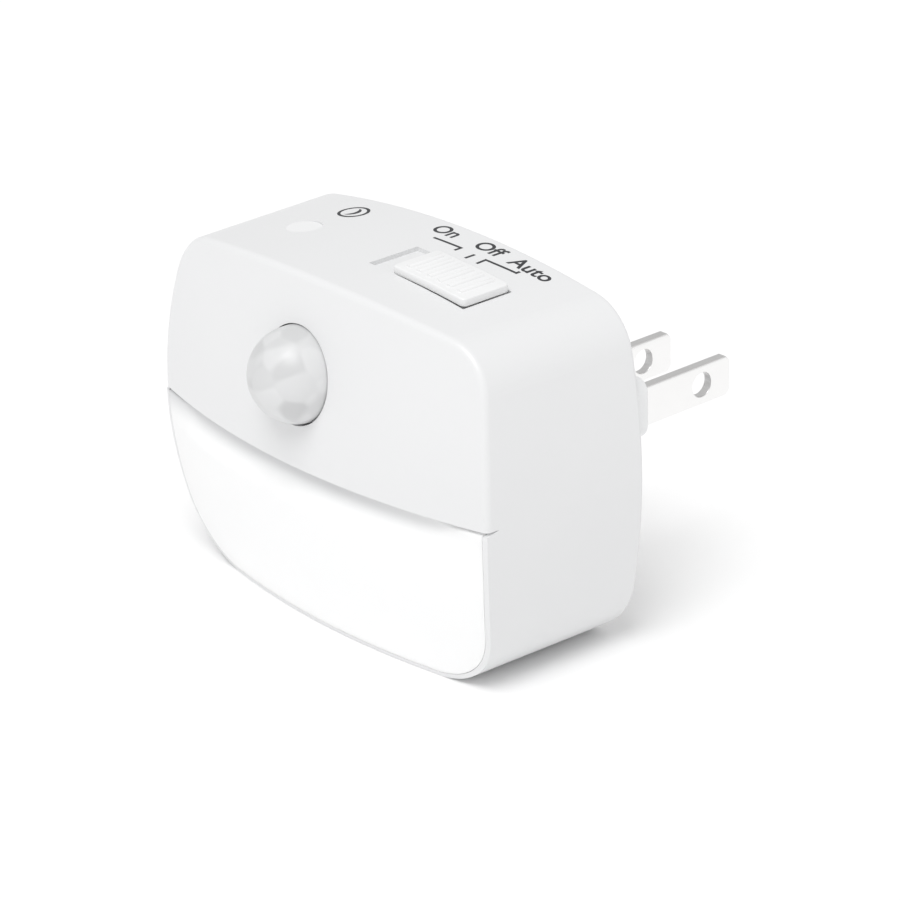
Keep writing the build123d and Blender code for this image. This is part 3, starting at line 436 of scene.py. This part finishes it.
# ---- Circuit boards ----
# Glass-epoxy laminate under a green solder mask, with its copper tracks showing through as paler lines.
# The front board hangs on the housing's bosses and the power board stands on the rear cover's posts.
mask_finish = solder_mask, mask_tree, mask_shader, mask_place = finish_tree("solder_mask")
flat_to_board = add_node(mask_tree, "Mapping")
flat_to_board.inputs["Rotation"].default_value = (math.radians(90), 0, 0)
tracks = add_node(mask_tree, "TexBrick", offset=0.37, offset_frequency=3, squash=0.55, squash_frequency=4)
tracks.inputs["Color1"].default_value = (0.020, 0.105, 0.045, 1)
tracks.inputs["Color2"].default_value = (0.026, 0.125, 0.052, 1)
tracks.inputs["Mortar"].default_value = (0.040, 0.165, 0.070, 1)
tracks.inputs["Scale"].default_value = 90
tracks.inputs["Mortar Size"].default_value = 0.016
tracks.inputs["Mortar Smooth"].default_value = 0.1
tracks.inputs["Brick Width"].default_value = 1.9
tracks.inputs["Row Height"].default_value = 0.10
mask_skin = skin_on(mask_finish, skin_tree, (1, 1, 1), (0.75, 0.8, 0.75), 0.22, 0.38)
track_height = 0.03 * MM
wire(mask_tree, (mask_place, "Object"), (flat_to_board, "Vector"))
wire(mask_tree, (flat_to_board, "Vector"), (tracks, "Vector"))
wire(mask_tree, multiplied(mask_tree, (tracks, "Color"), (mask_skin, "Tint")), (mask_shader, "Base Color"))
raised(mask_finish, (tracks, "Fac"), 0.5, track_height)
dress(solder_mask, "front_board", "power_board")


# ---- Lamps ----
# Surface-mount LEDs: a white resin body with a round cup full of yellow phosphor and two tinned ends.
# Eight of them are soldered to the front of the board, behind the diffuser.
def settle(piece):
    """Puts a piece's place and turn into its mesh."""
    pick(piece)
    bpy.ops.object.transform_apply(location=True, rotation=True, scale=True)


def choose(piece, test, kind="FACE"):
    """Edit mode with the faces, edges or vertices that pass the test selected."""
    pick(piece)
    bpy.ops.object.mode_set(mode="EDIT")
    bpy.ops.mesh.select_mode(type=kind)
    bpy.ops.mesh.select_all(action="DESELECT")
    shape = bmesh.from_edit_mesh(piece.data)
    for part in {"FACE": shape.faces, "EDGE": shape.edges, "VERT": shape.verts}[kind]:
        if test(part):
            part.select_set(True)
    bmesh.update_edit_mesh(piece.data)


def apply_modifier(piece, kind, **settings):
    """Adds a modifier with its settings and applies it."""
    pick(piece)
    modifier = piece.modifiers.new(kind.lower(), kind)
    for key, value in settings.items():
        setattr(modifier, key, value)
    bpy.ops.object.modifier_apply(modifier=modifier.name)


def join(name, pieces):
    """One object made of several."""
    clear_choice()
    for piece in pieces:
        piece.select_set(True)
    bpy.context.view_layer.objects.active = pieces[0]
    bpy.ops.object.join()
    pieces[0].name = name
    pieces[0].data.name = name
    return pieces[0]


def block(name, low, high):
    """A box between two corners given in millimetres."""
    low, high = Vector(low) * MM, Vector(high) * MM
    piece = start_piece(name, bpy.ops.mesh.primitive_cube_add, size=1, location=(low + high) / 2)
    piece.scale = high - low
    settle(piece)
    return piece


def carve(piece, cutter):
    """Takes the cutter's shape out of the piece and throws the cutter away."""
    apply_modifier(piece, "BOOLEAN", operation="DIFFERENCE", object=cutter, solver="EXACT")
    bpy.data.objects.remove(cutter)


def spread(name, piece, places, turns=None):
    """One object made of the piece at its places, each copy with its own mesh."""
    row = []
    for i, place in enumerate(places):
        copy = piece.copy()
        copy.data = piece.data.copy()
        bpy.context.scene.collection.objects.link(copy)
        copy.location = place
        copy.rotation_euler = (0, 0, turns[i] if turns else 0)
        settle(copy)
        row.append(copy)
    bpy.data.objects.remove(piece)
    return join(name, row)


seam_gap = 2e-6     # corners of a solid's triangles that lie this near are one


def loose_boxes(node):
    """Corner pairs of the separate solids in one node, from a copy that is taken apart and thrown away."""
    piece = start_piece("apart", bpy.ops.mesh.primitive_plane_add)
    piece.data = nodes[node].data.copy()
    choose(piece, lambda face: True)
    bpy.ops.mesh.remove_doubles(threshold=seam_gap)
    bpy.ops.mesh.separate(type="LOOSE")
    bpy.ops.object.mode_set(mode="OBJECT")
    corners = []
    for part in list(bpy.context.selected_objects):
        spots = [vertex.co for vertex in part.data.vertices]
        corners.append((Vector([min(spot[i] for spot in spots) for i in range(3)]),
                        Vector([max(spot[i] for spot in spots) for i in range(3)])))
        bpy.data.objects.remove(part)
    return sorted(corners, key=lambda pair: (round(pair[0].y, 5), round(pair[0].x, 5), round(pair[0].z, 5)))


led_resin = moulded("led_resin", (0.90, 0.90, 0.88), (0.84, 0.84, 0.82), 0.25, 0.3, 0.001)
phosphor = moulded("phosphor", (0.93, 0.80, 0.22), (0.86, 0.70, 0.14), 0.22, 0.12, 0.004)
led_half_length, led_half_height, led_thickness = 1.7, 1.4, 0.8
led_body = block("led_body", (-led_half_length, -led_thickness, -led_half_height),
                 (led_half_length, 0, led_half_height))
apply_modifier(led_body, "BEVEL", width=0.08 * MM, segments=2, limit_method="ANGLE")
cup_mouth, cup_floor, cup_height = 1.25 * MM, 1.0 * MM, 0.5 * MM
cup = start_piece("led_cup", bpy.ops.mesh.primitive_cone_add, vertices=40,
                  radius1=cup_mouth, radius2=cup_floor, depth=cup_height,
                  location=(0, -led_thickness * MM, 0), rotation=(math.radians(-90), 0, 0))
settle(cup)
carve(led_body, cup)
led_body.data.materials.append(led_resin)
fill_outline = [(0, -0.72 * MM), (0.7 * MM, -0.7 * MM), (1.0 * MM, -0.63 * MM),
                (1.03 * MM, -0.5 * MM), (0, -0.5 * MM)]
led_fill = turned("led_fill", fill_outline, (0, 0, 0), (0, 1, 0), 32)
led_fill.data.materials.append(phosphor)
led_ends = [block("led_end", (x0, -0.3, -1.15), (x1, 0, 1.15)) for x0, x1 in ((-1.75, -1.2), (1.2, 1.75))]
for end in led_ends:
    apply_modifier(end, "BEVEL", width=0.05 * MM, segments=2, limit_method="ANGLE")
    end.data.materials.append(tinned)
led_one = join("led_one", [led_body, led_fill, *led_ends])
led_places = [Vector(((low.x + high.x) / 2, high.y, (low.z + high.z) / 2))
              for low, high in loose_boxes("leds")]
lamps = spread("lamps", led_one, led_places)
smooth(lamps, 35)
hand_over(lamps, "case", "led_package", "leds")


# ---- Control chip and bridge rectifier ----
# Black moulding compound, pressed round tin-plated sheet legs that come out of both long sides.
# The legs are bent down and soldered flat to the boards.
def zoned(name, axis, stops, gloss, dark_share=0.88, depth_mm=0.003):
    """Finish that changes along one axis: a stop is (place in mm, tint, metal), up to the next."""
    finish = material, tree, shader, place = finish_tree(name)
    first, last = stops[0][0], stops[-1][0]
    parts = add_node(tree, "SeparateXYZ")
    span = add_node(tree, "MapRange")
    span.inputs["From Min"].default_value = first * MM
    span.inputs["From Max"].default_value = last * MM
    zones = add_node(tree, "ValToRGB")
    ramp = zones.color_ramp
    ramp.interpolation = "CONSTANT"
    for at, tint, metal in stops[1:-1]:
        ramp.elements.new((at - first) / (last - first))
    for element, (at, tint, metal) in zip(ramp.elements, stops):
        element.color = (*tint, metal)
    skin = skin_on(finish, skin_tree, (1, 1, 1), (dark_share,) * 3, gloss - 0.05, gloss + 0.08)
    wire(tree, (place, "Object"), (parts, "Vector"))
    wire(tree, (parts, axis), (span, "Value"))
    wire(tree, (span, "Result"), (zones, "Fac"))
    wire(tree, multiplied(tree, (zones, "Color"), (skin, "Tint")), (shader, "Base Color"))
    wire(tree, (zones, "Alpha"), (shader, "Metallic"))
    raised(finish, (skin, "Height"), 0.5, depth_mm * MM)
    return material


tin, black = (0.76, 0.76, 0.74), (0.022, 0.022, 0.025)
chip_finish = zoned("chip_compound", "Z", [
    (18.5, tin, 1), (20.05, black, 0), (23.95, tin, 1), (25.5, tin, 1)], 0.42)
dress(chip_finish, "control_chip", "bridge_rectifier")


# ---- Photocell ----
# Ceramic disc sensor in clear lacquer on two bent tinned leads.
# It stands under the daylight window, with its leads soldered through the front board.
ceramic = (0.72, 0.42, 0.20)
photocell_finish = zoned("photocell_ceramic", "Z", [(47.5, tin, 1), (51.0, ceramic, 0), (53.3, tin, 0)], 0.2)
dress(photocell_finish, "photocell")


# ---- Slide switch ----
# Tin-plated steel frame folded over a brown phenolic wafer, with silver-plated terminals riveted through it.
# A black acetal slider carries a sprung brass strip that bridges two neighbouring terminals.
frame_steel = rolled("frame_steel", (0.70, 0.71, 0.72), (0.62, 0.63, 0.64), 0.26)
wafer_brown = moulded("wafer_phenolic", (0.30, 0.165, 0.075), (0.22, 0.115, 0.05), 0.45, 0.4, 0.006)
terminal_silver = rolled("terminal_silver", (0.84, 0.82, 0.76), (0.76, 0.73, 0.66), 0.2)
slider_black = moulded("slider_acetal", (0.030, 0.030, 0.033), (0.022, 0.022, 0.025), 0.35, 0.5, 0.002)
contact_brass = rolled("contact_brass", (0.78, 0.58, 0.28), (0.70, 0.50, 0.22), 0.2)
dress(frame_steel, "switch_frame")
dress(wafer_brown, "switch_wafer")
dress(terminal_silver, "switch_terminals")
dress(slider_black, "switch_lever")
dress(contact_brass, "switch_contact")


# ---- Slide knob ----
# White ABS plate with six low finger ribs, sliding in its tray on the switch's lever.
# Its edges are softened by the mould's polish.
knob_white = moulded("knob_white", (0.87, 0.872, 0.875), (0.85, 0.852, 0.855), 0.30, 0.25, 0.002)


def softened(name, node, width_mm, degrees=30):
    """A copy of a solid's mesh, merged and with its sharp edges broken."""
    piece = start_piece(name, bpy.ops.mesh.primitive_plane_add)
    piece.data = nodes[node].data.copy()
    piece.data.name = name
    piece.data.materials.clear()
    choose(piece, lambda face: True)
    bpy.ops.mesh.customdata_custom_splitnormals_clear()
    bpy.ops.mesh.select_all(action="SELECT")
    bpy.ops.mesh.remove_doubles(threshold=seam_gap)
    bpy.ops.mesh.dissolve_limited(angle_limit=math.radians(1))
    bpy.ops.object.mode_set(mode="OBJECT")
    apply_modifier(piece, "BEVEL", width=width_mm * MM, segments=3, limit_method="ANGLE",
                   angle_limit=math.radians(degrees), harden_normals=False)
    smooth(piece, 35)
    return piece


knob = softened("slide_knob", "switch_knob", 0.1)
knob.data.materials.append(knob_white)
hand_over(knob, "switch", "knob_plastic", "switch_knob")


# ---- Capacitors ----
# The film capacitor is a red epoxy-filled box. The electrolytic capacitor is an aluminium can in a dark
# printed sleeve, laid on its side, with its bare end to the left and a rubber bung at its leads.
film_finish = zoned("film_box", "Y", [(3.0, (0.45, 0.035, 0.03), 0), (9.96, tin, 1), (12.6, tin, 1)], 0.25)
bare_can, sleeve = (0.72, 0.72, 0.72), (0.02, 0.028, 0.06)
stripe, bung = (0.55, 0.56, 0.58), (0.03, 0.03, 0.03)
sleeve_finish = zoned("electrolytic_sleeve", "X", [
    (-22.1, bare_can, 1), (-21.75, sleeve, 0), (-12.2, stripe, 0),
    (-11.9, sleeve, 0), (-10.3, bung, 0), (-9.98, tin, 1), (-8.0, tin, 1)], 0.3)
dress(film_finish, "film_capacitor")
dress(sleeve_finish, "electrolytic_capacitor")


# ---- Resistors ----
# The fusible resistor is a ceramic rod in grey-green flameproof coating with colour bands.
# The four chip resistors are black-glazed ceramic with tinned ends.
coat, brown_band = (0.17, 0.235, 0.19), (0.12, 0.035, 0.015)
black_band, gold_band = (0.01, 0.01, 0.01), (0.55, 0.36, 0.08)
rod_finish = zoned("fusible_coating", "X", [
    (-19.9, tin, 1), (-16.5, coat, 0), (-15.2, brown_band, 0), (-14.5, coat, 0), (-13.8, black_band, 0),
    (-13.1, coat, 0), (-12.4, black_band, 0), (-11.7, coat, 0), (-9.4, gold_band, 0), (-8.7, coat, 0),
    (-7.5, tin, 1), (-4.0, tin, 1)], 0.45)
glaze_finish = zoned("resistor_glaze", "X", [
    (11.3, tin, 1), (11.85, black, 0), (14.15, tin, 1), (14.7, tin, 1)], 0.3)
dress(rod_finish, "fusible_resistor")
dress(glaze_finish, "chip_resistors")


# ---- Link between the boards ----
# Black moulded header on the power board, with four square tinned pins that reach the front board.
# The pins are pressed through the header and soldered to both boards.
header_black = moulded("header_black", (0.032, 0.032, 0.035), (0.024, 0.024, 0.027), 0.5, 0.3, 0.005)
dress(header_black, "link_header")
dress(tinned, "link_pins")


# ---- Solder joints ----
# Tin solder on the far side of each board, where a lead comes through.
# It is drawn up along the lead into a small bright cone.
def solder_cone(name, foot_mm, neck_mm, height_mm, forward):
    """A concave cone of solder on a board at the origin."""
    out = -1 if forward else 1
    sides = [(foot_mm, 0.0), (foot_mm * 0.93, 0.12), (neck_mm + 0.45 * (foot_mm - neck_mm), 0.4),
             (neck_mm + 0.15 * (foot_mm - neck_mm), 0.75), (neck_mm, 1.0)]
    outline = [(0, 0)] + [(r * MM, out * share * height_mm * MM) for r, share in sides]
    outline.append((0, out * height_mm * MM))
    cone = turned(name, outline, (0, 0, 0), (0, 1, 0), 20)
    cone.data.materials.append(tinned)
    return cone


front_side, rear_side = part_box("front_board")[0].y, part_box("power_board")[1].y
terminal_pitch, pin_pitch, four_in_row = 2.45, 2.54, (-1.5, -0.5, 0.5, 1.5)
link_joints = [(27 + step * pin_pitch, 23.5) for step in four_in_row]
front_joints = [(-2.54, 43.3), (0, 40.76), (2.54, 43.3), (-20.27, 48.4), (-17.73, 48.4)]
front_joints += [(12.5 + step * terminal_pitch, 50.9) for step in four_in_row] + link_joints
rear_joints = [(-8.4, 31.75), (-8.4, 35.25), (-3, 35), (7, 35), (-19.5, 22), (-4.5, 22)] + link_joints
blade_joints = [(21.25, 37), (33.95, 37)]
lead_cone, blade_cone = (0.85, 0.42, 0.75), (2.3, 1.7, 0.8)     # foot, neck and height in millimetres
joint_sets = []
for name, spots, depth, sizes, forward in (("front_solder", front_joints, front_side, lead_cone, True),
                                           ("rear_solder", rear_joints, rear_side, lead_cone, False),
                                           ("blade_solder", blade_joints, rear_side, blade_cone, False)):
    cone = solder_cone(name, *sizes, forward)
    joint_sets.append(spread(name, cone, [Vector((x * MM, depth, z * MM)) for x, z in spots]))
solder = join("solder_joints", joint_sets)
smooth(solder, 40)
hand_over(solder, "case", "tinned_wire")


# ---- Blades ----
# Nickel-plated brass strip, stamped with a round detent hole and clipped, bevelled tips.
# The sheared edges and the walls of the holes are duller than the rolled faces.
nickel = rolled("nickel_plate", (0.93, 0.925, 0.92), (0.88, 0.875, 0.87), 0.2)
sheared = rolled("sheared_edge", (0.80, 0.795, 0.79), (0.70, 0.695, 0.69), 0.32)
for side in ("left", "right"):
    blade = softened("plug_blade_" + side, "blade_" + side, 0.14, 25)
    blade.data.materials.append(nickel)
    blade.data.materials.append(sheared)
    choose(blade, lambda face: abs(face.normal.x) < 0.5)
    blade.active_material_index = 1
    bpy.ops.object.material_slot_assign()
    bpy.ops.object.mode_set(mode="OBJECT")
    hand_over(blade, "case", "blade_nickel", "blade_" + side)


# ---- Plug insert and rear cover ----
# The insert is a white polycarbonate block moulded round the blades and trapped behind the cover.
# The cover is a flat ABS plate let into the back of the housing, with a coarser spark texture.
insert_white = moulded("insert_white", (0.875, 0.878, 0.882), (0.855, 0.858, 0.864), 0.32)
cover_white = moulded("cover_white", (0.87, 0.873, 0.878), (0.85, 0.853, 0.86), 0.42, 0.45, 0.008)
dress(insert_white, "plug_insert")
dress(cover_white, "rear_cover")


# ---- Screws ----
# Zinc-plated pan-head tapping screws with a cross recess: four hold the rear cover to the housing's columns,
# two the front board to its bosses and two the power board to the cover's posts.
screw_zinc = rolled("screw_zinc", (0.62, 0.62, 0.61), (0.52, 0.52, 0.51), 0.3, 0.3)


def tapping_screw(name, head_radius, head_height, length):
    """A screw along Y with its head's underside at the origin and its point to the front, in millimetres."""
    core, crest, pitch = 0.70, 0.93, 0.7
    outline = [(0, head_height), (0.45 * head_radius, 0.98 * head_height),
               (0.8 * head_radius, 0.82 * head_height), (head_radius, 0.42 * head_height),
               (head_radius, 0), (0.92, 0)]
    depth = 0.3
    while depth < length - 1.6:
        outline += [(core, -depth), (crest, -depth - 0.35), (core, -depth - 0.5)]
        depth += pitch
    outline += [(0.62, -length + 0.9), (0, -length)]
    screw = turned(name, [(r * MM, t * MM) for r, t in outline], (0, 0, 0), (0, 1, 0), 32)
    for turn in (0, 90):
        arm = block("recess", (-1.15, head_height - 0.75, -0.26), (1.15, head_height + 0.4, 0.26))
        choose(arm, lambda face: face.normal.y < -0.9)
        bpy.ops.transform.resize(value=(0.55, 1, 0.7), center_override=(0, 0, 0))
        bpy.ops.object.mode_set(mode="OBJECT")
        arm.rotation_euler = (0, math.radians(turn), 0)
        settle(arm)
        carve(screw, arm)
    screw.data.materials.append(screw_zinc)
    return screw


screw_head = 1.1
for node, head_radius, length in (("case_screws", 2.1, 8.0), ("board_screws", 1.9, 5.0)):
    places, turns = [], []
    for low, high in loose_boxes(node):
        to_front = node == "case_screws" or high.y < 5 * MM
        seat = high.y - screw_head * MM if to_front else low.y + screw_head * MM
        places.append(Vector(((low.x + high.x) / 2, seat, (low.z + high.z) / 2)))
        turns.append(0 if to_front else math.pi)
    one = tapping_screw(node + "_one", head_radius, screw_head, length)
    screws = spread("dressed_" + node, one, places, turns)
    smooth(screws, 35)
    hand_over(screws, "case", "screw_steel", node)


# ---- Printed marks ----
# Black pad-printed words and brackets round the switch, and a plain moon sign beside the window.
# The ink is a few thousandths of a millimetre thick and follows the bowed top.
ink_black = moulded("ink_black", (0.030, 0.031, 0.035), (0.022, 0.023, 0.027), 0.5, 0.2, 0.001)


def top_height(x):
    """Height of the case's bowed top at x."""
    crest, bow = 58 * MM, 188 * MM
    return crest - bow + math.sqrt(bow * bow - x * x)


def print_on_top(piece, thickness=0.006 * MM):
    """Lays a flat mark on the bowed top, in ink."""
    settle(piece)
    for vertex in piece.data.vertices:
        vertex.co.z = top_height(vertex.co.x) + thickness
    piece.data.materials.clear()
    piece.data.materials.append(ink_black)


def word(text, x, y, height):
    """A printed word whose left end and baseline are given."""
    clear_choice()
    bpy.ops.object.text_add(location=(x, y, 0))
    piece = bpy.context.active_object
    piece.name = "word_" + text
    piece.data.body = text
    piece.data.size = height
    piece.data.offset = 0.02 * height
    piece.data.resolution_u = 6
    bpy.ops.object.convert(target="MESH")
    return piece


def bar(x0, y0, x1, y1, width):
    """A printed straight line between two points."""
    run = Vector((x1 - x0, y1 - y0, 0))
    piece = start_piece("bar", bpy.ops.mesh.primitive_plane_add, size=1,
                        location=((x0 + x1) / 2, (y0 + y1) / 2, 0), rotation=(0, 0, math.atan2(run.y, run.x)))
    piece.scale = (run.length + width, width, 1)
    settle(piece)
    choose(piece, lambda face: True)
    bpy.ops.mesh.subdivide(number_cuts=4)
    bpy.ops.object.mode_set(mode="OBJECT")
    return piece


def moon_sign(x, y, radius, width):
    """A ring with a crescent in it."""
    ring = start_piece("ring", bpy.ops.mesh.primitive_circle_add, vertices=64, radius=radius,
                       location=(0, 0, 0))
    bpy.ops.object.mode_set(mode="EDIT")
    bpy.ops.mesh.select_mode(type="EDGE")
    bpy.ops.mesh.select_all(action="SELECT")
    bpy.ops.mesh.extrude_edges_move()
    bpy.ops.transform.resize(value=(1 - width / radius, 1 - width / radius, 1), center_override=(0, 0, 0))
    bpy.ops.object.mode_set(mode="OBJECT")
    moon_radius, inner = 0.62 * radius, 0.76 * radius
    crescent = start_piece("crescent", bpy.ops.mesh.primitive_circle_add, vertices=64, radius=moon_radius,
                           fill_type="NGON", location=(0, 0, 0))
    for vertex in crescent.data.vertices:
        if vertex.co.x < 0:
            vertex.co.x = math.sqrt(inner**2 - vertex.co.y**2) - math.sqrt(inner**2 - moon_radius**2)
    crescent.location.x = -0.22 * radius
    settle(crescent)
    sign = join("moon_sign", [ring, crescent])
    sign.location = (x, y, 0)
    return sign


letter_height, line, sign_radius, sign_line = 4.1 * MM, 0.5 * MM, 2.6 * MM, 0.52 * MM
marks = [word("On", -2.4 * MM, 12.9 * MM, letter_height), word("Off", 7.2 * MM, 13.0 * MM, letter_height),
         word("Auto", 15.2 * MM, 12.9 * MM, letter_height),
         moon_sign(-18.3 * MM, 11.1 * MM, sign_radius, sign_line)]
for x0, y0, x1, y1 in [(1.0, 11.1, 6.8, 11.3), (6.8, 11.3, 6.8, 10.2), (10.1, 9.4, 10.1, 10.9),
                       (12.7, 9.4, 12.6, 11.1), (12.6, 11.1, 18.8, 11.6), (18.8, 11.6, 18.8, 12.1)]:
    marks.append(bar(x0 * MM, y0 * MM, x1 * MM, y1 * MM, line))
for piece in marks:
    print_on_top(piece)
words = join("switch_print", marks)
hand_over(words, "case", "case_plastic")


# ---- Table, light and camera ----
# Pale matt table, a wide soft sun from the front right and above, and an even white sky.
# The camera stands at the front right, a little above the case, with a long lens.
table_top = start_piece("table_top", bpy.ops.mesh.primitive_plane_add, size=8, location=(0, 0, -0.02 * MM))
table_finish, _, table_shader, _ = finish_tree("table_white")
table_shader.inputs["Base Color"].default_value = (0.97, 0.97, 0.97, 1)
table_shader.inputs["Roughness"].default_value = 0.9
table_shader.inputs["Specular IOR Level"].default_value = 0.1
table_top.data.materials.append(table_finish)

scene = bpy.context.scene
scene.view_settings.view_transform = "Standard"
sky = bpy.data.worlds.new("studio_sky")
scene.world = sky
sky.use_nodes = True
sky.node_tree.nodes["Background"].inputs["Color"].default_value = (1, 1, 1, 1)
sky.node_tree.nodes["Background"].inputs["Strength"].default_value = 0.66

clear_choice()
bpy.ops.object.light_add(type="SUN", location=(-0.3, -0.3, 0.6))
key = bpy.context.active_object
key.name = "key_light"
key.data.energy = 1.52
key.data.angle = math.radians(34)
key.rotation_mode = "QUATERNION"
sun_travels = Vector((-0.22, 0.41, -0.88))
key.rotation_quaternion = sun_travels.to_track_quat("-Z", "Y")

azimuth, elevation, roll = math.radians(50.81), math.radians(23.917), math.radians(-2.194)
back = Vector((math.sin(azimuth) * math.cos(elevation), -math.cos(azimuth) * math.cos(elevation),
               math.sin(elevation)))
level = Vector((math.cos(azimuth), math.sin(azimuth), 0))
rise = back.cross(level)
across = level * math.cos(roll) + rise * math.sin(roll)
upward = rise * math.cos(roll) - level * math.sin(roll)
clear_choice()
bpy.ops.object.camera_add()
camera = bpy.context.active_object
camera.name = "camera"
camera_distance = 536.77
camera_place = Vector((0, 0, mid_height)) + back * camera_distance * MM
camera.matrix_world = Matrix.Translation(camera_place) @ Matrix((across, upward, back)).transposed().to_4x4()
camera.data.sensor_width = 36
camera.data.lens = 140.204
picture_size, centre_x, centre_y = 900, 381.22, 431.76      # in pixels, the centre from the top left
camera.data.shift_x = (picture_size / 2 - centre_x) / picture_size
camera.data.shift_y = (centre_y - picture_size / 2) / picture_size
camera.data.clip_start = 0.05
camera.data.clip_end = 20
scene.camera = camera

clear_choice()
